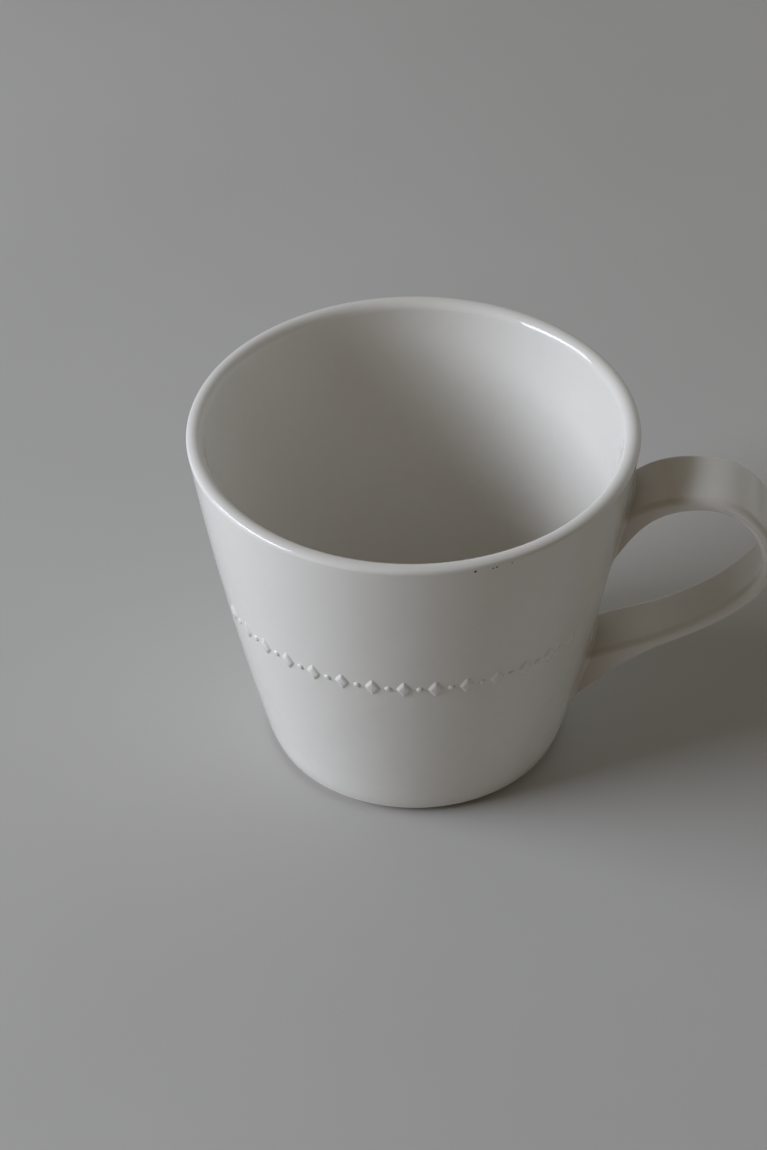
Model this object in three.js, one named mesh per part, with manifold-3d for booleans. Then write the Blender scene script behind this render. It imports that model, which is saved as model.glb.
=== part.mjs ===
// A ceramic mug: a tapered cup on a low foot ring, with a strap handle and a raised ornamental band.
// Units are millimetres and +Z is up. The origin is on the cup's axis, level with the surface that the
// mug stands on. The handle points along +X, and the band is centred on -Y.

import * as THREE from 'three';
import { mergeVertices } from 'three/addons/utils/BufferGeometryUtils.js';
import Module from 'manifold-3d';

const wasm = await Module();
wasm.setup();

// ---- Driving dimensions ----

// Cup
const HEIGHT = 79; // table to the top of the lip
const RIM_RADIUS = 46; // the wall's slope carried up to the top of the lip
const BASE_RADIUS = 31.9; // the wall's slope carried down to the table
const WALL_SWELL = 1.06; // how far the wall swells out of a straight cone, half way up
const EDGE_HEIGHT = 5.8; // height of the rounded edge at the base
const EDGE_TUCK = 1.1; // how far that edge draws in at the table
const WALL = 3.4;
const LIP_WIDTH = 2.9; // the wall thins to this at the lip
const THINNING = 18; // how far below the lip the thinning starts
const FLOOR_TOP = 5.6; // height of the floor inside the cup
const FLOOR_CORNER = 9; // radius between the floor and the wall, inside

// Foot
const FOOT_HEIGHT = 1.6;
const FOOT_INNER_RADIUS = 26.8;
const FOOT_CHAMFER = 0.5;
const BASE_RECESS = 0.8; // the middle of the base stands this far off the table

// Handle
const STRAP_THICKNESS = 3.4;
const STRAP_EDGE = 1.4; // rounding of the strap's long edges
const STRAP_WIDTH_TOP = 15.2;
const STRAP_WIDTH_BOTTOM = 13.0;
const TAPER_END = 37.5; // height at which the strap has narrowed to its lower width
const ROOT_SPREAD = 0.07; // extra width at the wall, as a fraction
const ROOT_SPREAD_REACH = 18; // how far from the wall that extra width dies out
const ROOT_FLARE_TOP = 3.1; // extra thickness at the strap's two ends
const ROOT_FLARE_BOTTOM = 5.2;
const FLARE_END_TOP = 0.3; // where the flares end and start, as fractions of the strap's length
const FLARE_START_BOTTOM = 0.74;
const FLARE_END_BOTTOM = 0.97;
const STRAP_TOP = 69.2; // height of the centre line at the crown
const STRAP_REACH = 73.2; // the centre line's furthest distance from the cup's axis

// The strap's centre line as (radius, height) points of four cubic curves. Its two ends lie inside the wall.
const STRAP_CURVES = [
  [[36, 49], [42.8, 58.8], [45.2, STRAP_TOP], [60.1, STRAP_TOP]], // upper root to crown
  [[60.1, STRAP_TOP], [67.2, STRAP_TOP], [STRAP_REACH, 61.9], [STRAP_REACH, 54.6]], // crown to back
  [[STRAP_REACH, 54.6], [STRAP_REACH, 47.3], [65.2, 39.6], [56.4, 34]], // back to waist
  [[56.4, 34], [47.6, 28.4], [38.1, 24.6], [30, 14]], // waist to lower root
];

// Fillets of slip around the handle's two roots, as three narrowing layers
const FILLET_LAYERS = [
  { spread: 2.2, rise: 0.6 },
  { spread: 1.5, rise: 1.2 },
  { spread: 0.9, rise: 1.8 },
];
const UPPER_ROOT_ZONE = [45, HEIGHT]; // heights between which each root's fillet lies
const LOWER_ROOT_ZONE = [8, 45];

// Ornamental band of applied sprigs: lozenges with a bead between each two
const BAND_HEIGHT = 43.6; // height of the band's middle line
const BAND_ARC = 116; // degrees
const BAND_AZIMUTH = -90; // degrees
const LOZENGES = 14;
const LOZENGE_HALF_HEIGHT = 2.8;
const LOZENGE_HALF_WIDTH = 1.9;
const SPRIG_THICKNESS = 0.6;
const SPRIG_BEVEL = 0.24;
const BEAD_RADIUS = 0.8;

const GAP = 0.3; // clearance between touching pieces
const ROUND_SEGMENTS = 64;

// ---- Materials ----

const glaze = new THREE.MeshStandardMaterial({ color: 0xdedbd4, roughness: 0.22, metalness: 0 });
const glazeInSeam = new THREE.MeshStandardMaterial({ color: 0xcdc8bd, roughness: 0.25, metalness: 0 });
const bareClay = new THREE.MeshStandardMaterial({ color: 0xcfc3b0, roughness: 0.9, metalness: 0 });

// ---- Helpers ----

// Turns a closed (radius, height) outline round the Z axis.
function turned(outline) {
  return new THREE.LatheGeometry(outline, ROUND_SEGMENTS).rotateX(Math.PI / 2);
}

function toSolid(geometry) {
  const bare = geometry.clone();
  bare.deleteAttribute('normal');
  bare.deleteAttribute('uv');
  const merged = mergeVertices(bare, 1e-4);
  return new wasm.Manifold(new wasm.Mesh({
    numProp: 3,
    vertProperties: new Float32Array(merged.attributes.position.array),
    triVerts: new Uint32Array(merged.index.array),
  }));
}

function toGeometry(solid) {
  const mesh = solid.getMesh();
  const geometry = new THREE.BufferGeometry();
  geometry.setAttribute('position', new THREE.BufferAttribute(mesh.vertProperties, 3));
  geometry.setIndex(new THREE.BufferAttribute(mesh.triVerts, 1));
  geometry.computeVertexNormals();
  return geometry;
}

function part(name, geometry, material) {
  const mesh = new THREE.Mesh(geometry, material);
  mesh.name = name;
  return mesh;
}

// Evenly spaced numbers from first to last, both included.
function spaced(first, last, steps) {
  return Array.from({ length: steps + 1 }, (_, i) => first + ((last - first) * i) / steps);
}

// Points along an arc of an ellipse, angles in degrees, ends included.
function arc(centreX, centreY, radiusX, radiusY, from, to, steps) {
  return spaced(from, to, steps).map((degrees) => {
    const angle = THREE.MathUtils.degToRad(degrees);
    return new THREE.Vector2(centreX + radiusX * Math.cos(angle), centreY + radiusY * Math.sin(angle));
  });
}

// ---- Cup ----

// Outside radius at a height: a gently swelling cone, drawn in by a quarter ellipse at the base.
function outerRadius(height) {
  const s = height / HEIGHT;
  const cone = BASE_RADIUS + (RIM_RADIUS - BASE_RADIUS) * s + WALL_SWELL * 4 * s * (1 - s);
  const up = Math.min(height / EDGE_HEIGHT, 1);
  return cone - EDGE_TUCK * (1 - Math.sqrt(1 - (1 - up) ** 2));
}

function innerRadius(height) {
  const thinned = THREE.MathUtils.clamp((height - HEIGHT + THINNING) / THINNING, 0, 1);
  return outerRadius(height) - THREE.MathUtils.lerp(WALL, LIP_WIDTH, thinned);
}

// The lip's outline from outside to inside: a half circle that runs into the wall's leaning faces.
function lip() {
  const lean = Math.atan((outerRadius(HEIGHT) - outerRadius(HEIGHT - 4)) / 4);
  const rounding = (LIP_WIDTH / 2) * Math.cos(lean);
  const z = HEIGHT - rounding;
  const tilt = THREE.MathUtils.radToDeg(lean);
  return arc(outerRadius(z) - LIP_WIDTH / 2, z, rounding, rounding, -tilt, 180 - tilt, 7);
}

function cupBody() {
  const seat = FOOT_HEIGHT + GAP;
  const spigot = FOOT_INNER_RADIUS - GAP;
  const lipOutline = lip();
  const cornerTop = FLOOR_TOP + FLOOR_CORNER;
  const cornerX = innerRadius(cornerTop) - FLOOR_CORNER;
  const at = (radius) => (height) => new THREE.Vector2(radius(height), height);
  return turned([
    new THREE.Vector2(0, BASE_RECESS),
    new THREE.Vector2(spigot, BASE_RECESS),
    new THREE.Vector2(spigot, seat),
    ...spaced(seat, EDGE_HEIGHT, 3).map(at(outerRadius)),
    ...spaced(EDGE_HEIGHT, lipOutline.at(0).y, 8).slice(1, -1).map(at(outerRadius)),
    ...lipOutline,
    ...spaced(HEIGHT - THINNING, cornerTop, 5).map(at(innerRadius)),
    ...arc(cornerX, cornerTop, FLOOR_CORNER, FLOOR_CORNER, 0, -90, 5).slice(1),
    new THREE.Vector2(0, FLOOR_TOP),
  ]);
}

function footRing() {
  const outside = spaced(0, FOOT_HEIGHT, 3).map((height) => new THREE.Vector2(outerRadius(height), height));
  const start = new THREE.Vector2(FOOT_INNER_RADIUS + FOOT_CHAMFER, 0);
  return turned([
    start,
    ...outside,
    new THREE.Vector2(FOOT_INNER_RADIUS, FOOT_HEIGHT),
    new THREE.Vector2(FOOT_INNER_RADIUS, FOOT_CHAMFER),
    start.clone(),
  ]);
}

// The cup's outside, filled to the axis and grown outwards: what the handle's pieces are cut back from.
function cupEnvelope(grow) {
  const wall = spaced(0, HEIGHT, 16).map((height) => new THREE.Vector2(outerRadius(height) + grow, height));
  return toSolid(turned([new THREE.Vector2(0, 0), ...wall, new THREE.Vector2(0, HEIGHT)]));
}

// ---- Handle ----

// The strap's centre line, from the upper root to the lower one.
function strapCentreLine() {
  const path = new THREE.CurvePath();
  for (const curve of STRAP_CURVES) {
    path.add(new THREE.CubicBezierCurve(...curve.map(([x, y]) => new THREE.Vector2(x, y))));
  }
  return path;
}

// Thickness along the strap, from 0 at the upper root to 1 at the lower one: it flares at both.
function strapThickness(along) {
  const nearTop = 1 - THREE.MathUtils.smoothstep(along, 0, FLARE_END_TOP);
  const nearBottom = THREE.MathUtils.smoothstep(along, FLARE_START_BOTTOM, FLARE_END_BOTTOM);
  return STRAP_THICKNESS + ROOT_FLARE_TOP * nearTop + ROOT_FLARE_BOTTOM * nearBottom;
}

// The strap seen from the side: the centre line thickened to both sides.
function strapOutline() {
  const path = strapCentreLine();
  const outer = [];
  const inner = [];
  for (const along of spaced(0, 1, 44)) {
    const centre = path.getPointAt(along);
    const tangent = path.getTangentAt(along);
    const sideways = new THREE.Vector2(-tangent.y, tangent.x).multiplyScalar(strapThickness(along) / 2);
    outer.push(centre.clone().add(sideways));
    inner.push(centre.clone().sub(sideways));
  }
  return new THREE.Shape([...outer, ...inner.reverse()]);
}

// The strap's width at a point of its side view, as a fraction of its width at the crown.
function widthFactor(x, z) {
  const down = THREE.MathUtils.clamp((STRAP_TOP - z) / (STRAP_TOP - TAPER_END), 0, 1);
  const nearWall = 1 - THREE.MathUtils.smoothstep(x - outerRadius(z), 0, ROOT_SPREAD_REACH);
  return (1 - (1 - STRAP_WIDTH_BOTTOM / STRAP_WIDTH_TOP) * down) * (1 + ROOT_SPREAD * nearWall);
}

// The strap as a solid with rounded long edges, narrowing downwards, grown all round by a margin.
function strap(grow = 0) {
  const rounding = STRAP_EDGE + grow;
  const halfWidth = STRAP_WIDTH_TOP / 2 + grow;
  const geometry = new THREE.ExtrudeGeometry(strapOutline(), {
    depth: 2 * (halfWidth - rounding),
    bevelThickness: rounding,
    bevelSize: rounding,
    bevelOffset: -STRAP_EDGE,
    bevelSegments: 3,
  });
  geometry.translate(0, 0, -(halfWidth - rounding)).rotateX(Math.PI / 2);
  const position = geometry.attributes.position;
  for (let i = 0; i < position.count; i += 1) {
    position.setY(i, position.getY(i) * widthFactor(position.getX(i), position.getZ(i)));
  }
  return toSolid(geometry);
}

function handle() {
  return toGeometry(strap().subtract(cupEnvelope(GAP)));
}

// A fillet of slip hugging one root: rings of the grown strap, stepped away from the wall.
function rootFillet([lowest, highest]) {
  const room = new THREE.BoxGeometry(RIM_RADIUS, RIM_RADIUS, highest - lowest);
  room.translate(RIM_RADIUS, 0, (highest + lowest) / 2);
  let fillet = null;
  for (const { spread, rise } of FILLET_LAYERS) {
    const layer = strap(spread).intersect(cupEnvelope(GAP + rise));
    fillet = fillet ? fillet.add(layer) : layer;
  }
  return toGeometry(fillet.intersect(toSolid(room)).subtract(cupEnvelope(GAP)).subtract(strap(GAP)));
}

// ---- Ornamental band ----

function lozenge() {
  const outline = new THREE.Shape([
    new THREE.Vector2(LOZENGE_HALF_HEIGHT, 0),
    new THREE.Vector2(0, LOZENGE_HALF_WIDTH),
    new THREE.Vector2(-LOZENGE_HALF_HEIGHT, 0),
    new THREE.Vector2(0, -LOZENGE_HALF_WIDTH),
  ]);
  const geometry = new THREE.ExtrudeGeometry(outline, {
    depth: SPRIG_THICKNESS - 2 * SPRIG_BEVEL,
    bevelThickness: SPRIG_BEVEL,
    bevelSize: SPRIG_BEVEL,
    bevelOffset: -SPRIG_BEVEL,
    bevelSegments: 2,
  });
  return geometry.translate(0, 0, SPRIG_BEVEL);
}

function bead() {
  const dome = arc(0, 0, BEAD_RADIUS, SPRIG_THICKNESS, 0, 90, 3).slice(0, -1);
  const profile = [new THREE.Vector2(0, 0), ...dome, new THREE.Vector2(0, SPRIG_THICKNESS)];
  return new THREE.LatheGeometry(profile, 12).rotateX(Math.PI / 2);
}

// Stands a sprig on the wall at an azimuth in degrees, its back just clear of the wall.
function onWall(mesh, azimuth) {
  const lean = Math.atan(outerRadius(BAND_HEIGHT + 0.5) - outerRadius(BAND_HEIGHT - 0.5));
  mesh.rotation.y = Math.PI / 2 + lean;
  mesh.position.set(outerRadius(BAND_HEIGHT) + GAP, 0, BAND_HEIGHT);
  const turn = new THREE.Group();
  turn.rotation.z = THREE.MathUtils.degToRad(azimuth);
  turn.add(mesh);
  return turn;
}

function ornamentalBand() {
  const band = new THREE.Group();
  const pitch = BAND_ARC / (LOZENGES - 1);
  const first = BAND_AZIMUTH - BAND_ARC / 2;
  const number = (i) => String(i + 1).padStart(2, '0');
  for (let i = 0; i < LOZENGES; i += 1) {
    band.add(onWall(part(`lozenge_sprig_${number(i)}`, lozenge(), glaze), first + i * pitch));
  }
  for (let i = 0; i < LOZENGES - 1; i += 1) {
    band.add(onWall(part(`bead_sprig_${number(i)}`, bead(), glaze), first + (i + 0.5) * pitch));
  }
  return band;
}

// ---- The mug ----

const mug = new THREE.Group();
mug.add(part('cup_body', cupBody(), glaze));
mug.add(part('foot_ring', footRing(), bareClay));
mug.add(part('handle', handle(), glaze));
mug.add(part('upper_handle_fillet', rootFillet(UPPER_ROOT_ZONE), glazeInSeam));
mug.add(part('lower_handle_fillet', rootFillet(LOWER_ROOT_ZONE), glazeInSeam));
mug.add(ornamentalBand());

export default mug;
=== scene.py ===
import math

import bmesh
import bpy
from mathutils import Matrix, Vector, noise


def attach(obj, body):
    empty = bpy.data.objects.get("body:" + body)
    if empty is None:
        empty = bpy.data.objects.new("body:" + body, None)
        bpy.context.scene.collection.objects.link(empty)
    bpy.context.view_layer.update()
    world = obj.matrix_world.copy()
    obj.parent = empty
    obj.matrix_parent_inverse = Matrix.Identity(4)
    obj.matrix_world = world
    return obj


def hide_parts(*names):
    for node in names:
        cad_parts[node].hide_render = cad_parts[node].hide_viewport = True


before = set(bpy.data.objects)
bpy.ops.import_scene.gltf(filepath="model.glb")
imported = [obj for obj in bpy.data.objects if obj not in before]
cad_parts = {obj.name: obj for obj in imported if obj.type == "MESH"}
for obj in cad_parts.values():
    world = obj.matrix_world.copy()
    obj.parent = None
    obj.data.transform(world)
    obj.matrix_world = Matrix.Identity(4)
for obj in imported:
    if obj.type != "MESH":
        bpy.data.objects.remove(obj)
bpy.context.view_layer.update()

# A glazed ceramic mug on a plain floor. Shapes are worked out in millimetres, in the CAD model's frame:
# the origin is on the cup's axis at the floor, the handle points along +X and the raised band faces -Y.
MM = 0.001

# ---- Sizes, as in the CAD model ----

HEIGHT = 79.0
RIM_RADIUS = 46.0
BASE_RADIUS = 31.9
WALL_SWELL = 1.06           # how far the wall bulges out of a cone at half height
EDGE_HEIGHT = 5.8           # height of the rounded edge at the base
EDGE_TUCK = 1.1             # how far that edge draws in
WALL = 3.4                  # the CAD model's wall thins to 2.9 towards the lip, and this one doesn't
FLOOR_TOP = 5.6             # height of the floor inside the cup
FLOOR_CORNER = 9.0          # rounding between that floor and the wall
FOOT_HEIGHT = 1.6
FOOT_INNER_RADIUS = 26.8
BASE_RECESS = 0.8           # height of the base's underside inside the foot ring

STRAP_THICKNESS = 3.4
STRAP_WIDTH_TOP = 15.2
STRAP_WIDTH_BOTTOM = 13.0
TAPER_END = 37.5            # height below which the strap narrows no more
ROOT_SPREAD = 0.07          # how much wider the strap is at the wall, as a fraction
ROOT_SPREAD_REACH = 18.0    # how far off the wall that widening starts
ROOT_FLARE_TOP = 3.1        # extra thickness at the two ends
ROOT_FLARE_BOTTOM = 5.2
FLARE_END_TOP = 0.3         # where the flares end and start, as fractions of the strap's length
FLARE_START_BOTTOM = 0.74
FLARE_END_BOTTOM = 0.97
STRAP_TOP = 69.2            # height of the centre line's highest point
STRAP_REACH = 73.2          # its farthest distance from the cup's axis
# The strap's centre line: four cubic curves of (radius, height) points. Its ends lie inside the wall.
STRAP_CURVES = (
    ((36.0, 49.0), (42.8, 58.8), (45.2, STRAP_TOP), (60.1, STRAP_TOP)),
    ((60.1, STRAP_TOP), (67.2, STRAP_TOP), (STRAP_REACH, 61.9), (STRAP_REACH, 54.6)),
    ((STRAP_REACH, 54.6), (STRAP_REACH, 47.3), (65.2, 39.6), (56.4, 34.0)),
    ((56.4, 34.0), (47.6, 28.4), (38.1, 24.6), (30.0, 14.0)),
)

BAND_HEIGHT = 43.6
BAND_ARC = 116.0            # degrees between the first lozenge and the last
BAND_AZIMUTH = -90.0        # direction of the band's middle
LOZENGES = 14
LOZENGE_HALF_HEIGHT = 2.8
LOZENGE_HALF_WIDTH = 1.9
BEAD_RADIUS = 0.8

# ---- Finer shape, which only the visual model has ----

ROUND_STEPS = 256           # steps round the cup
LIP_EDGE = 0.9              # rounding of the lip's outer edge
LIP_ROUND = 2.046           # rounding of its crest and inner side, which brings it onto the inner wall
LIP_TURN = 60.0             # slope, in degrees, at which the first rounding runs into the second
LIP_SINK = 0.2              # how far the crest lies below the full height
GLAZE_EDGE = 1.45           # height at which the glaze stops above the floor
GLAZE_ROLL = 0.35           # radius of the glaze's rolled lower edge
FOOT_SET_BACK = 0.25        # the bare clay stands this far inside the glaze
UNEVENNESS = 0.1            # how far the cup strays inwards from a true round
UNEVEN_SPACING = 21.0       # rough distance from one swell of that to the next
BASE_GAP = 0.3              # clearance between the glazed base and the foot ring
RELIEF = 0.38               # how far the ornament stands out of the wall
RELIEF_SKIN = 0.15          # how deep its edge dips into the wall
RELIEF_SHOULDER = 0.45      # where a mound starts to fall, as a fraction of the way to its edge
LOZENGE_POWER = 1.18        # 1 gives a straight-sided lozenge and 2 a round mound
BEAD_SPREAD = 1.15          # how much wider a bead's mound is than the CAD's bead
BEAD_RELIEF = 0.85          # a bead's height as a fraction of a lozenge's
STRAP_EDGE = 1.5            # rounding of the strap's long edges
STRAP_CAMBER = 0.05         # how much thinner the strap is at its edges, as a fraction
STRAP_STEPS = 220           # steps along the strap
ROOT_DEPTH = 1.2            # how deep the strap's ends reach into the wall
FILLET_STEPS = 12           # steps from the strap to the wall
FILLET_SINK = 0.25          # how deep a fillet's two edges dip into the strap and the wall


# ---- Mesh helpers ----

def mesh_object(name, points, faces, smooth=True):
    """A mesh object from points in millimetres, its faces turned outwards."""
    mesh = bpy.data.meshes.new(name)
    mesh.from_pydata([Vector(p) * MM for p in points], [], faces)
    work = bmesh.new()
    work.from_mesh(mesh)
    bmesh.ops.remove_doubles(work, verts=work.verts, dist=1e-7)
    bmesh.ops.recalc_face_normals(work, faces=work.faces)
    for face in work.faces:
        face.smooth = smooth
    work.to_mesh(mesh)
    work.free()
    obj = bpy.data.objects.new(name, mesh)
    bpy.context.scene.collection.objects.link(obj)
    return obj


def spaced(first, last, steps):
    return [first + (last - first) * i / steps for i in range(steps + 1)]


def arc(x, z, radius, start, end, steps):
    """Points on an arc, angles in degrees, both ends included."""
    angles = [math.radians(a) for a in spaced(start, end, steps)]
    return [(x + radius * math.cos(a), z + radius * math.sin(a)) for a in angles]


def smooth_step(value, low, high):
    t = min(max((value - low) / (high - low), 0.0), 1.0)
    return t * t * (3.0 - 2.0 * t)


def uneven(point, size):
    """Moves a point towards the axis by up to this size, in slow waves, and less near the foot."""
    wave = noise.noise(Vector(point) / UNEVEN_SPACING) * 0.5 + 0.5
    away = math.hypot(point[0], point[1])
    scale = 1.0 - size * min(max(wave, 0.0), 1.0) * smooth_step(point[2], 2.0, 12.0) / away
    return point[0] * scale, point[1] * scale, point[2]


def turned(name, outline):
    """Turns a (radius, height) outline round the Z axis. It starts and ends on the axis, or it closes."""
    steps = ROUND_STEPS
    closed = outline[0][0] > 0
    rows = outline if closed else outline[1:-1]
    points = []
    for radius, height in rows:
        for i in range(steps):
            angle = 2.0 * math.pi * i / steps
            point = (radius * math.cos(angle), radius * math.sin(angle), height)
            points.append(uneven(point, UNEVENNESS))
    faces = []
    for row in range(len(rows) if closed else len(rows) - 1):
        above = (row + 1) % len(rows)
        for i in range(steps):
            j = (i + 1) % steps
            faces.append((row * steps + i, row * steps + j, above * steps + j, above * steps + i))
    if not closed:
        for end, row in ((outline[0], 0), (outline[-1], len(rows) - 1)):
            pole = len(points)
            points.append((0.0, 0.0, end[1]))
            for i in range(steps):
                faces.append((row * steps + i, row * steps + (i + 1) % steps, pole))
    return mesh_object(name, points, faces)


def stacked(name, rings, capped):
    """Joins rings of points, each to the next. Without caps the last ring joins the first."""
    steps = len(rings[0])
    points = [p for ring in rings for p in ring]
    faces = []
    for row in range(len(rings) - 1 if capped else len(rings)):
        above = (row + 1) % len(rings)
        for i in range(steps):
            j = (i + 1) % steps
            faces.append((row * steps + i, row * steps + j, above * steps + j, above * steps + i))
    if capped:
        faces.append(tuple(range(steps)))
        faces.append(tuple((len(rings) - 1) * steps + i for i in range(steps)))
    return mesh_object(name, points, faces)


# ---- Cup ----

def outer_radius(height):
    """Outside radius at a height: a gently swelling cone, drawn in by a quarter ellipse at the base."""
    s = height / HEIGHT
    cone = BASE_RADIUS + (RIM_RADIUS - BASE_RADIUS) * s + WALL_SWELL * 4.0 * s * (1.0 - s)
    up = min(max(height / EDGE_HEIGHT, 0.0), 1.0)
    return cone - EDGE_TUCK * (1.0 - math.sqrt(1.0 - (1.0 - up) ** 2))


def inner_radius(height):
    return outer_radius(height) - WALL


def lip():
    """The lip from outside to inside: a tight arc, then a wider one over the crest and down inside."""
    tilt = math.degrees(math.atan((outer_radius(HEIGHT) - outer_radius(HEIGHT - 4.0)) / 4.0))
    turn = math.radians(LIP_TURN)
    round_z = HEIGHT - LIP_SINK - LIP_ROUND
    edge_z = round_z + (LIP_ROUND - LIP_EDGE) * math.sin(turn)
    edge_x = outer_radius(edge_z) - LIP_EDGE
    round_x = edge_x - (LIP_ROUND - LIP_EDGE) * math.cos(turn)
    outline = arc(edge_x, edge_z, LIP_EDGE, -tilt, LIP_TURN, 14)
    return outline + arc(round_x, round_z, LIP_ROUND, LIP_TURN, 180.0 - tilt, 26)[1:]


def glazed_cup():
    lip_outline = lip()
    corner_top = FLOOR_TOP + FLOOR_CORNER
    corner_x = inner_radius(corner_top) - FLOOR_CORNER
    seat = FOOT_HEIGHT + BASE_GAP
    spigot = FOOT_INNER_RADIUS - BASE_GAP
    rounding = 0.3
    edge = outer_radius(GLAZE_EDGE + GLAZE_ROLL) - GLAZE_ROLL
    outline = [(0.0, BASE_RECESS), (spigot * 0.5, BASE_RECESS)]
    outline += arc(spigot - rounding, BASE_RECESS + rounding, rounding, -90, 0, 4)
    # Behind its rolled edge the glaze turns in under the wall, above the foot ring.
    outline += [(spigot, seat), (edge - 1.2, seat), (edge - 0.4, seat - 0.15)]
    outline += arc(edge, GLAZE_EDGE + GLAZE_ROLL, GLAZE_ROLL, -110, 0, 8)
    outline += [(outer_radius(z), z) for z in spaced(GLAZE_EDGE + GLAZE_ROLL, EDGE_HEIGHT, 10)[1:]]
    outline += [(outer_radius(z), z) for z in spaced(EDGE_HEIGHT, lip_outline[0][1], 60)[1:-1]]
    outline += lip_outline
    outline += [(inner_radius(z), z) for z in spaced(lip_outline[-1][1], corner_top, 96)[1:]]
    outline += arc(corner_x, corner_top, FLOOR_CORNER, 0, -90, 20)[1:]
    outline += [(corner_x * k, FLOOR_TOP) for k in (0.75, 0.5, 0.25)]
    outline.append((0.0, FLOOR_TOP))
    return turned("glazed_cup", outline)


def clay_foot():
    """The bare foot ring: rounded edges, and a contact face worn flat."""
    outside = outer_radius(0.0) - FOOT_SET_BACK
    rounding = 0.45
    outline = arc(outside - rounding, rounding, rounding, -90, 0, 6)
    outline += [(outer_radius(FOOT_HEIGHT) - FOOT_SET_BACK - 0.35, FOOT_HEIGHT)]
    outline += [(FOOT_INNER_RADIUS, FOOT_HEIGHT)]
    outline += arc(FOOT_INNER_RADIUS + rounding, rounding, rounding, 180, 270, 6)
    return turned("clay_foot", outline)


# ---- Handle ----

def bezier(a, b, c, d, t):
    u = 1.0 - t
    return tuple(u ** 3 * a[k] + 3 * u * u * t * b[k] + 3 * u * t * t * c[k] + t ** 3 * d[k] for k in (0, 1))


CENTRE_POINTS = [bezier(*curve, t) for curve in STRAP_CURVES for t in spaced(0.0, 1.0, 100)[:-1]]
CENTRE_POINTS.append(STRAP_CURVES[-1][-1])
CENTRE_LENGTHS = [0.0]
for before, after in zip(CENTRE_POINTS, CENTRE_POINTS[1:]):
    CENTRE_LENGTHS.append(CENTRE_LENGTHS[-1] + math.dist(before, after))


def centre_line(along):
    """Point and direction in the (radius, height) plane, by the fraction of the strap's length."""
    wanted = along * CENTRE_LENGTHS[-1]
    i = 0
    low, high = 0, len(CENTRE_POINTS) - 2
    while low <= high:
        i = (low + high) // 2
        if CENTRE_LENGTHS[i] > wanted:
            high = i - 1
        elif CENTRE_LENGTHS[i + 1] < wanted:
            low = i + 1
        else:
            break
    a, b = CENTRE_POINTS[i], CENTRE_POINTS[i + 1]
    length = CENTRE_LENGTHS[i + 1] - CENTRE_LENGTHS[i]
    t = (wanted - CENTRE_LENGTHS[i]) / length
    first, last = max(i - 3, 0), min(i + 4, len(CENTRE_POINTS) - 1)
    p, q = CENTRE_POINTS[first], CENTRE_POINTS[last]
    reach = math.dist(p, q)
    point = (a[0] + (b[0] - a[0]) * t, a[1] + (b[1] - a[1]) * t)
    return point, ((q[0] - p[0]) / reach, (q[1] - p[1]) / reach)


def strap_section():
    """Points round a rounded rectangle, from its +Y edge: each is a place on the core and a way to face."""
    points = []
    corners = ((1.0, 1.0), (-1.0, 1.0), (-1.0, -1.0), (1.0, -1.0))
    for k, core in enumerate(corners):
        for degrees in spaced(90.0 * k, 90.0 * k + 90.0, 10):
            points.append((core, (math.cos(math.radians(degrees)), math.sin(math.radians(degrees)))))
        following = corners[(k + 1) % 4]
        facing = points[-1][1]
        steps = 10 if k % 2 == 0 else 2
        for t in spaced(0.0, 1.0, steps)[1:-1]:
            place = tuple(a + (b - a) * t for a, b in zip(core, following))
            points.append((place, facing))
    return points


SECTION = strap_section()


def strap_point(index, along):
    """A point on the strap's surface, by its place round the section and its place along the strap."""
    (place_y, place_out), (facing_y, facing_out) = SECTION[index % len(SECTION)]
    (x, z), (dx, dz) = centre_line(along)
    near_top = 1.0 - smooth_step(along, 0.0, FLARE_END_TOP)
    near_bottom = smooth_step(along, FLARE_START_BOTTOM, FLARE_END_BOTTOM)
    thickness = STRAP_THICKNESS + ROOT_FLARE_TOP * near_top + ROOT_FLARE_BOTTOM * near_bottom
    down = min(max((STRAP_TOP - z) / (STRAP_TOP - TAPER_END), 0.0), 1.0)
    near_wall = 1.0 - smooth_step(x - outer_radius(z), 0.0, ROOT_SPREAD_REACH)
    width = STRAP_WIDTH_TOP - (STRAP_WIDTH_TOP - STRAP_WIDTH_BOTTOM) * down
    width *= 1.0 + ROOT_SPREAD * near_wall
    across = place_y * (width / 2.0 - STRAP_EDGE) + facing_y * STRAP_EDGE
    out = place_out * (thickness / 2.0 - STRAP_EDGE) + facing_out * STRAP_EDGE
    out *= 1.0 - STRAP_CAMBER * (2.0 * across / width) ** 2
    return Vector((x - dz * out, across, z + dx * out))


def off_wall(point):
    """How far a point stands out of the cup's outside, along the radius."""
    return math.hypot(point.x, point.y) - outer_radius(point.z)


def on_wall(point, lift=0.0):
    """The point moved along its radius to the cup's outside, or this far off it."""
    scale = (outer_radius(point.z) + lift) / math.hypot(point.x, point.y)
    return Vector((point.x * scale, point.y * scale, point.z))


def crossing(index, inside, outside):
    """The fraction of the length at which this line of the strap comes out of the wall."""
    for _ in range(40):
        middle = (inside + outside) / 2.0
        if off_wall(strap_point(index, middle)) < 0.0:
            inside = middle
        else:
            outside = middle
    return (inside + outside) / 2.0


ROOTS = {"upper": (0.0, 0.25), "lower": (1.0, 0.75)}


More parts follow.
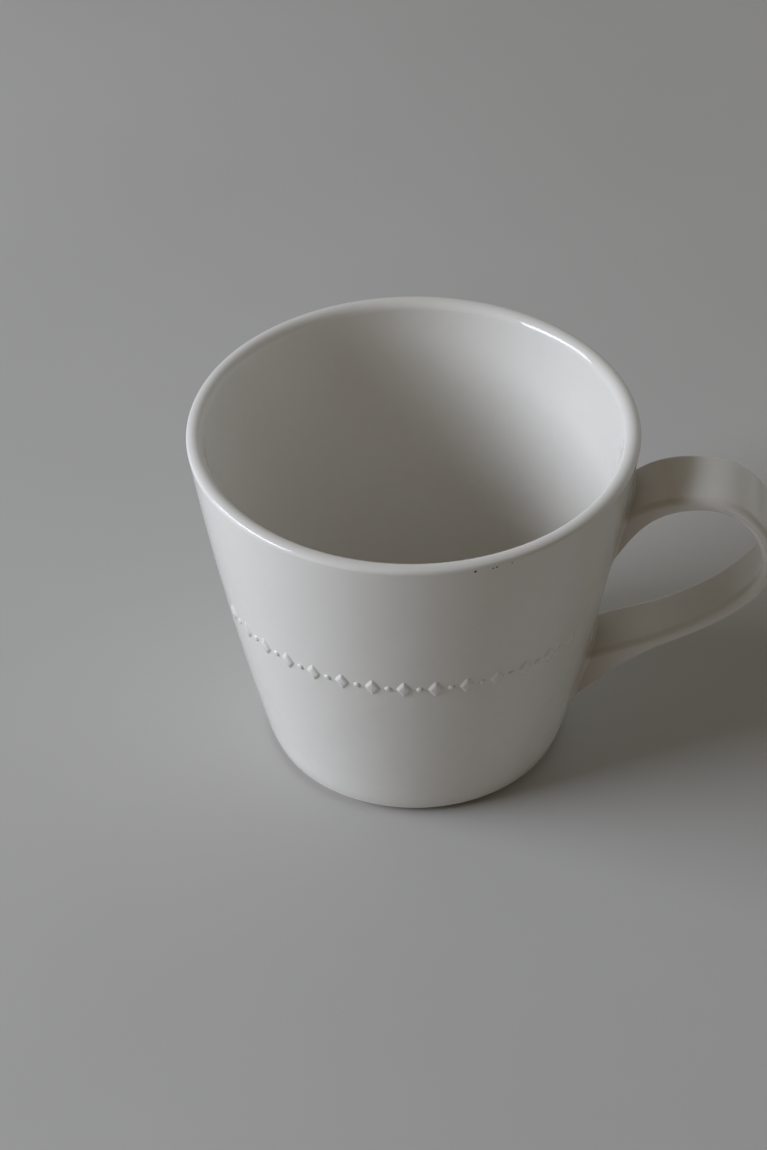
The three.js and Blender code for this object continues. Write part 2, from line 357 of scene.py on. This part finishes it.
def strap_handle():
    """The strap, from just inside the wall at one root to just inside it at the other."""
    top = [crossing(i, *ROOTS["upper"]) for i in range(len(SECTION))]
    bottom = [crossing(i, *ROOTS["lower"]) for i in range(len(SECTION))]
    rings = []
    for k in spaced(0.0, 1.0, STRAP_STEPS):
        ring = []
        for i, (start, end) in enumerate(zip(top, bottom)):
            # Each line of the strap runs from its own crossing to its own crossing, evenly in between.
            ring.append(strap_point(i, start + (end - start) * k))
        rings.append(ring)
    sunk_top = [on_wall(p, -ROOT_DEPTH) for p in rings[0]]
    sunk_bottom = [on_wall(p, -ROOT_DEPTH) for p in rings[-1]]
    return stacked("strap_handle", [sunk_top] + rings + [sunk_bottom], capped=True)


def slip_fillet(root, spread):
    """A concave fillet round one root, tangent to the strap and to the wall. Its size goes by the facing."""
    inside, outside = ROOTS[root]
    direction = 1.0 if outside > inside else -1.0
    section = []
    for i, (_, (_, facing_out)) in enumerate(SECTION):
        size = spread(facing_out)
        at = crossing(i, inside, outside)
        corner = strap_point(i, at)
        on_strap = strap_point(i, at + direction * size / CENTRE_LENGTHS[-1])
        round_way = strap_point(i + 1, at) - strap_point(i - 1, at)
        length_way = strap_point(i, at + 0.002) - strap_point(i, at - 0.002)
        strap_normal = round_way.cross(length_way).normalized()
        (x, z), _ = centre_line(at)
        if strap_normal.dot(corner - Vector((x, 0.0, z))) < 0.0:
            strap_normal.negate()
        wall_normal = wall_normal_at(corner)
        away = (strap_normal - wall_normal * strap_normal.dot(wall_normal)).normalized()
        wall_end = on_wall(corner + away * size)
        ring = []
        for t in spaced(0.0, 1.0, FILLET_STEPS):
            u = 1.0 - t
            ring.append(on_strap * (u * u) + corner * (2.0 * u * t) + wall_end * (t * t))
        sunk_wall = on_wall(wall_end, -FILLET_SINK)
        sunk_corner = on_wall(corner - strap_normal * 0.4, -0.5)
        sunk_strap = on_strap - strap_normal * FILLET_SINK
        section.append([sunk_strap] + ring + [sunk_wall, sunk_corner])
    rings = [[line[k] for line in section] for k in range(len(section[0]))]
    return stacked(f"{root}_slip_fillet", rings, capped=False)


def wall_normal_at(point):
    slope = (outer_radius(point.z + 0.1) - outer_radius(point.z - 0.1)) / 0.2
    flat = Vector((point.x, point.y, 0.0)).normalized()
    return Vector((flat.x, flat.y, -slope)).normalized()


def upper_spread(facing_out):
    """Small in the crease above the strap, and widest under it."""
    return 1.2 + 0.6 * (0.5 - 0.5 * facing_out)


def lower_spread(facing_out):
    """Small above the strap, and a little wider under it."""
    return 1.3 + 1.0 * (0.5 + 0.5 * facing_out)


# ---- Raised band ----

def sprig(name, azimuth, half_width, half_height, power, relief):
    """A soft mound on the wall. A power near 1 makes its outline a lozenge, and 2 makes it round."""
    rings = []
    around = 48
    turn = math.radians(azimuth)
    for k in spaced(0.0, 1.0, 14)[1:]:
        ring = []
        for i in range(around):
            angle = 2.0 * math.pi * i / around
            c, s = math.cos(angle), math.sin(angle)
            reach = (abs(c) ** power + abs(s) ** power) ** (-1.0 / power)
            across, up = c * reach * half_width * k, s * reach * half_height * k
            rise = relief * (1.0 - smooth_step(k, RELIEF_SHOULDER, 1.0)) * (1.0 - 0.1 * k * k)
            rise -= RELIEF_SKIN * k
            height = BAND_HEIGHT + up
            radius = outer_radius(height)
            facing = turn + across / radius
            base = Vector((radius * math.cos(facing), radius * math.sin(facing), height))
            ring.append(base + wall_normal_at(base) * rise)
        rings.append(ring)
    top_base = on_wall(Vector((math.cos(turn), math.sin(turn), BAND_HEIGHT)))
    top = top_base + wall_normal_at(top_base) * relief
    back = top_base - wall_normal_at(top_base) * 0.6
    points = [top] + [p for ring in rings for p in ring] + [back]
    faces = [(0, 1 + i, 1 + (i + 1) % around) for i in range(around)]
    for row in range(len(rings) - 1):
        a, b = 1 + row * around, 1 + (row + 1) * around
        faces += [(a + i, a + (i + 1) % around, b + (i + 1) % around, b + i) for i in range(around)]
    last = 1 + (len(rings) - 1) * around
    faces += [(last + i, last + (i + 1) % around, len(points) - 1) for i in range(around)]
    return mesh_object(name, points, faces)


# ---- Materials ----

class Nodes:
    """Short calls for building one material's node tree."""

    def __init__(self, name):
        self.material = bpy.data.materials.new(name)
        self.material.use_nodes = True
        self.tree = self.material.node_tree
        self.shader = self.tree.nodes["Principled BSDF"]
        self.place = self.add("ShaderNodeTexCoord").outputs["Object"]

    def add(self, kind, **settings):
        node = self.tree.nodes.new(kind)
        for key, value in settings.items():
            setattr(node, key, value)
        return node

    def link(self, source, target):
        self.tree.links.new(source, target)

    def noise(self, scale, detail=2.0, roughness=0.5):
        node = self.add("ShaderNodeTexNoise")
        node.inputs["Scale"].default_value = scale
        node.inputs["Detail"].default_value = detail
        node.inputs["Roughness"].default_value = roughness
        self.link(self.place, node.inputs["Vector"])
        return node.outputs["Fac"]

    def spots(self, scale, radius):
        """1 in small round spots, one to each cell, and 0 elsewhere."""
        node = self.add("ShaderNodeTexVoronoi")
        node.inputs["Scale"].default_value = scale
        self.link(self.place, node.inputs["Vector"])
        return self.remap(node.outputs["Distance"], radius * 0.6, radius, 1.0, 0.0)

    def remap(self, value, low, high, to_low, to_high):
        """Maps low to to_low and high to to_high, with a smooth fade between them and no change beyond."""
        node = self.add("ShaderNodeMapRange", interpolation_type="SMOOTHSTEP")
        for key, number in (("From Min", low), ("From Max", high), ("To Min", to_low), ("To Max", to_high)):
            node.inputs[key].default_value = number
        self.link(value, node.inputs["Value"])
        return node.outputs["Result"]

    def math(self, operation, a, b):
        node = self.add("ShaderNodeMath", operation=operation)
        for socket, value in zip(node.inputs, (a, b)):
            if isinstance(value, (int, float)):
                socket.default_value = value
            else:
                self.link(value, socket)
        return node.outputs["Value"]

    def mix(self, factor, a, b):
        node = self.add("ShaderNodeMix", data_type="RGBA")
        self.link(factor, node.inputs["Factor"])
        for socket, value in ((node.inputs["A"], a), (node.inputs["B"], b)):
            if isinstance(value, tuple):
                socket.default_value = (*value, 1.0)
            else:
                self.link(value, socket)
        return node.outputs["Result"]

    def bump(self, height, distance, before=None):
        node = self.add("ShaderNodeBump")
        node.inputs["Strength"].default_value = 1.0
        node.inputs["Distance"].default_value = distance
        self.link(height, node.inputs["Height"])
        if before:
            self.link(before, node.inputs["Normal"])
        return node.outputs["Normal"]


# Dark specks fired into the glaze under the lip: (place, radius) in millimetres.
SPECKS = (
    ((17.4, -42.4, 77.3), 0.34),
    ((20.6, -40.9, 77.2), 0.22),
    ((21.3, -40.6, 77.3), 0.27),
    ((24.0, -38.9, 77.3), 0.18),
)


# Painted shade where the handle meets the cup: a darker, warmer tint on the strap, fading off the wall.
# The cup's outside at the handle lies near x = ROOT_SHADE_START + WALL_LEAN * z.
WALL_LEAN = 0.19
ROOT_SHADE_START = 32.5
ROOT_SHADE_END = 45.0             # the tint is gone this far along, 12.5 mm off the wall
ROOT_SHADE_COLOUR = (0.50, 0.43, 0.35)


def painted_root_shade(n, colour):
    """Paints shade onto the handle: a darker, warmer tint near the cup, fading off the wall."""
    off_axis = n.add("ShaderNodeVectorMath", operation="DOT_PRODUCT")
    off_axis.inputs[1].default_value = (1.0, 0.0, -WALL_LEAN)
    n.link(n.place, off_axis.inputs[0])
    near_wall = n.remap(off_axis.outputs["Value"], ROOT_SHADE_START * MM, ROOT_SHADE_END * MM, 0.75, 0.0)
    return n.mix(near_wall, colour, ROOT_SHADE_COLOUR)


def glaze(name, thin, thick, base_roughness, on_handle=False):
    """Glossy glaze: slow drifts of colour, faint mottling, a few specks and an uneven, wavy surface."""
    n = Nodes(name)
    drift = n.remap(n.noise(18.0, 1.0), 0.3, 0.7, 0.0, 1.0)
    mottle = n.remap(n.noise(420.0, 3.0), 0.35, 0.65, 0.0, 1.0)
    colour = n.mix(drift, thin, thick)
    darker = tuple(c * 0.985 for c in thin)
    colour = n.mix(n.math("MULTIPLY", mottle, 0.35), colour, darker)
    for place, radius in SPECKS:
        distance = n.add("ShaderNodeVectorMath", operation="DISTANCE")
        distance.inputs[1].default_value = Vector(place) * MM
        n.link(n.place, distance.inputs[0])
        ragged = n.math("ADD", distance.outputs["Value"], n.math("MULTIPLY", n.noise(2500.0), 0.00012))
        inside = n.remap(ragged, (radius * 0.7 + 0.06) * MM, (radius * 1.15 + 0.06) * MM, 0.95, 0.0)
        colour = n.mix(inside, colour, (0.06, 0.035, 0.02))
    # On the handle, painted shade darkens and warms the glaze near the cup.
    if on_handle:
        colour = painted_root_shade(n, colour)
    n.link(colour, n.shader.inputs["Base Color"])
    rough = n.remap(n.noise(70.0, 2.0), 0.3, 0.7, base_roughness * 0.85, base_roughness * 1.2)
    n.link(rough, n.shader.inputs["Roughness"])
    n.shader.inputs["IOR"].default_value = 1.5
    waves = n.bump(n.noise(110.0, 1.0), 0.00012)
    peel = n.bump(n.noise(600.0, 1.0), 0.000006, before=waves)
    n.link(peel, n.shader.inputs["Normal"])
    return n.material


def bare_clay():
    n = Nodes("bare_clay")
    tone = n.remap(n.noise(90.0, 4.0), 0.3, 0.7, 0.0, 1.0)
    colour = n.mix(tone, (0.60, 0.52, 0.43), (0.50, 0.42, 0.34))
    grit = n.spots(1400.0, 0.25)
    colour = n.mix(n.math("MULTIPLY", grit, 0.5), colour, (0.30, 0.22, 0.16))
    n.link(colour, n.shader.inputs["Base Color"])
    n.link(n.remap(n.noise(500.0), 0.3, 0.7, 0.78, 0.95), n.shader.inputs["Roughness"])
    grain = n.bump(n.noise(2500.0, 3.0, 0.6), 0.00004)
    n.link(grain, n.shader.inputs["Normal"])
    return n.material


def plain_floor():
    n = Nodes("plain_floor")
    tone = n.remap(n.noise(6.0, 4.0), 0.3, 0.7, 0.0, 1.0)
    n.link(n.mix(tone, (0.55, 0.54, 0.515), (0.52, 0.51, 0.485)), n.shader.inputs["Base Color"])
    n.shader.inputs["Roughness"].default_value = 0.85
    n.shader.inputs["Specular IOR Level"].default_value = 0.2
    return n.material


# ---- Building the mug ----

WHITE_THIN = (0.80, 0.78, 0.73)
WHITE_THICK = (0.82, 0.805, 0.765)
GLAZE = glaze("white_glaze", WHITE_THIN, WHITE_THICK, 0.04)
# The handle's glaze has painted shade near the cup.
HANDLE_GLAZE = glaze("handle_glaze", WHITE_THIN, WHITE_THICK, 0.22, on_handle=True)
# The fillets' glaze is darker and warmer all over: painted shade in the creases where the handle meets the
# cup.
SHADED_SEAM_GLAZE = glaze("crease_shade_glaze", (0.66, 0.61, 0.53), (0.74, 0.70, 0.63), 0.08)
CLAY = bare_clay()


def finish_piece(obj, material, slot, *nodes):
    obj.data.materials.append(material)
    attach(obj, "root")
    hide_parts(*nodes)
    return obj


finish_piece(glazed_cup(), GLAZE, "glaze", "cup_body")
finish_piece(clay_foot(), CLAY, "bare_clay", "foot_ring")
finish_piece(strap_handle(), HANDLE_GLAZE, "glaze", "handle")
# The fillets carry the painted crease shade.
finish_piece(slip_fillet("upper", upper_spread), SHADED_SEAM_GLAZE, "seam_glaze", "upper_handle_fillet")
finish_piece(slip_fillet("lower", lower_spread), SHADED_SEAM_GLAZE, "seam_glaze", "lower_handle_fillet")

PITCH = BAND_ARC / (LOZENGES - 1)
BAND_START = BAND_AZIMUTH - BAND_ARC / 2.0
for i in range(LOZENGES):
    mound = sprig(f"lozenge_{i + 1:02d}", BAND_START + i * PITCH,
                  LOZENGE_HALF_WIDTH, LOZENGE_HALF_HEIGHT, LOZENGE_POWER, RELIEF)
    finish_piece(mound, GLAZE, "glaze", f"lozenge_sprig_{i + 1:02d}")
for i in range(LOZENGES - 1):
    mound = sprig(f"bead_{i + 1:02d}", BAND_START + (i + 0.5) * PITCH,
                  BEAD_RADIUS * BEAD_SPREAD, BEAD_RADIUS * BEAD_SPREAD, 2.0, RELIEF * BEAD_RELIEF)
    finish_piece(mound, GLAZE, "glaze", f"bead_sprig_{i + 1:02d}")


# ---- Floor, light and camera ----

def floor():
    """A plain floor that runs out of sight."""
    reach = 3000.0
    corners = [(-reach, -reach, 0.0), (reach, -reach, 0.0), (reach, reach, 0.0), (-reach, reach, 0.0)]
    obj = mesh_object("floor", corners, [(0, 1, 2, 3)], smooth=False)
    obj.data.materials.append(plain_floor())


def area_light(name, azimuth, elevation, distance, size, power, colour):
    """A soft light aimed at the mug, placed by its direction from it, in degrees and metres."""
    data = bpy.data.lights.new(name, "AREA")
    data.shape = "RECTANGLE"
    data.size, data.size_y = size
    data.energy = power
    data.color = colour
    obj = bpy.data.objects.new(name, data)
    turn, up = math.radians(azimuth), math.radians(elevation)
    way = Vector((math.cos(up) * math.cos(turn), math.cos(up) * math.sin(turn), math.sin(up)))
    obj.location = way * distance + Vector((0.0, 0.0, 0.04))
    obj.rotation_euler = way.to_track_quat("Z", "Y").to_euler()
    bpy.context.scene.collection.objects.link(obj)


def room_light(dim, bright, azimuth, elevation):
    """A room lit from one side: bright there, fading over a wide angle to dim and warm everywhere else."""
    world = bpy.data.worlds.new("room")
    world.use_nodes = True
    tree = world.node_tree
    turn, up = math.radians(azimuth), math.radians(elevation)
    facing = tree.nodes.new("ShaderNodeVectorMath")
    facing.operation = "DOT_PRODUCT"
    way = (math.cos(up) * math.cos(turn), math.cos(up) * math.sin(turn), math.sin(up))
    facing.inputs[1].default_value = way
    tree.links.new(tree.nodes.new("ShaderNodeTexCoord").outputs["Generated"], facing.inputs[0])
    fade = tree.nodes.new("ShaderNodeMapRange")
    fade.interpolation_type = "SMOOTHSTEP"
    # The light starts to grow 78 degrees off its middle, where the cosine is 0.2.
    fade.inputs["From Min"].default_value = 0.2
    tree.links.new(facing.outputs["Value"], fade.inputs["Value"])
    blend = tree.nodes.new("ShaderNodeMix")
    blend.data_type = "RGBA"
    blend.inputs["A"].default_value = (*dim, 1.0)
    blend.inputs["B"].default_value = (*bright, 1.0)
    tree.links.new(fade.outputs["Result"], blend.inputs["Factor"])
    tree.links.new(blend.outputs["Result"], tree.nodes["Background"].inputs["Color"])
    bpy.context.scene.world = world


def camera():
    """An 85 mm lens on a full frame held upright, about 570 mm from the mug and 40 degrees above it."""
    turn, up, roll = math.radians(-81.4), math.radians(40.48), math.radians(-1.08)
    look_at = Vector((-0.0065, -0.0010, 0.0390))
    distance = 0.57216
    back = Vector((math.cos(up) * math.cos(turn), math.cos(up) * math.sin(turn), math.sin(up)))
    right = Vector((-math.sin(turn), math.cos(turn), 0.0))
    above = back.cross(right)
    tilted_right = right * math.cos(roll) + above * math.sin(roll)
    tilted_above = above * math.cos(roll) - right * math.sin(roll)
    data = bpy.data.cameras.new("camera")
    data.lens = 85.0
    data.sensor_width = 36.0
    data.clip_start = 0.01
    obj = bpy.data.objects.new("camera", data)
    turned_to = Matrix((tilted_right, tilted_above, back)).transposed()
    obj.matrix_world = Matrix.Translation(look_at + back * distance) @ turned_to.to_4x4()
    bpy.context.scene.collection.objects.link(obj)
    bpy.context.scene.camera = obj


floor()
area_light("window_left", 180.5, 25.0, 1.5, (0.38, 0.64), 5.7, (0.88, 0.92, 1.0))
area_light("window_right", 202.5, 25.0, 1.5, (0.70, 0.64), 17.3, (0.81, 0.87, 1.0))
room_light((0.092, 0.070, 0.040), (0.53, 0.565, 0.59), 45.0, 0.0)
camera()
bpy.context.scene.view_settings.view_transform = "Standard"
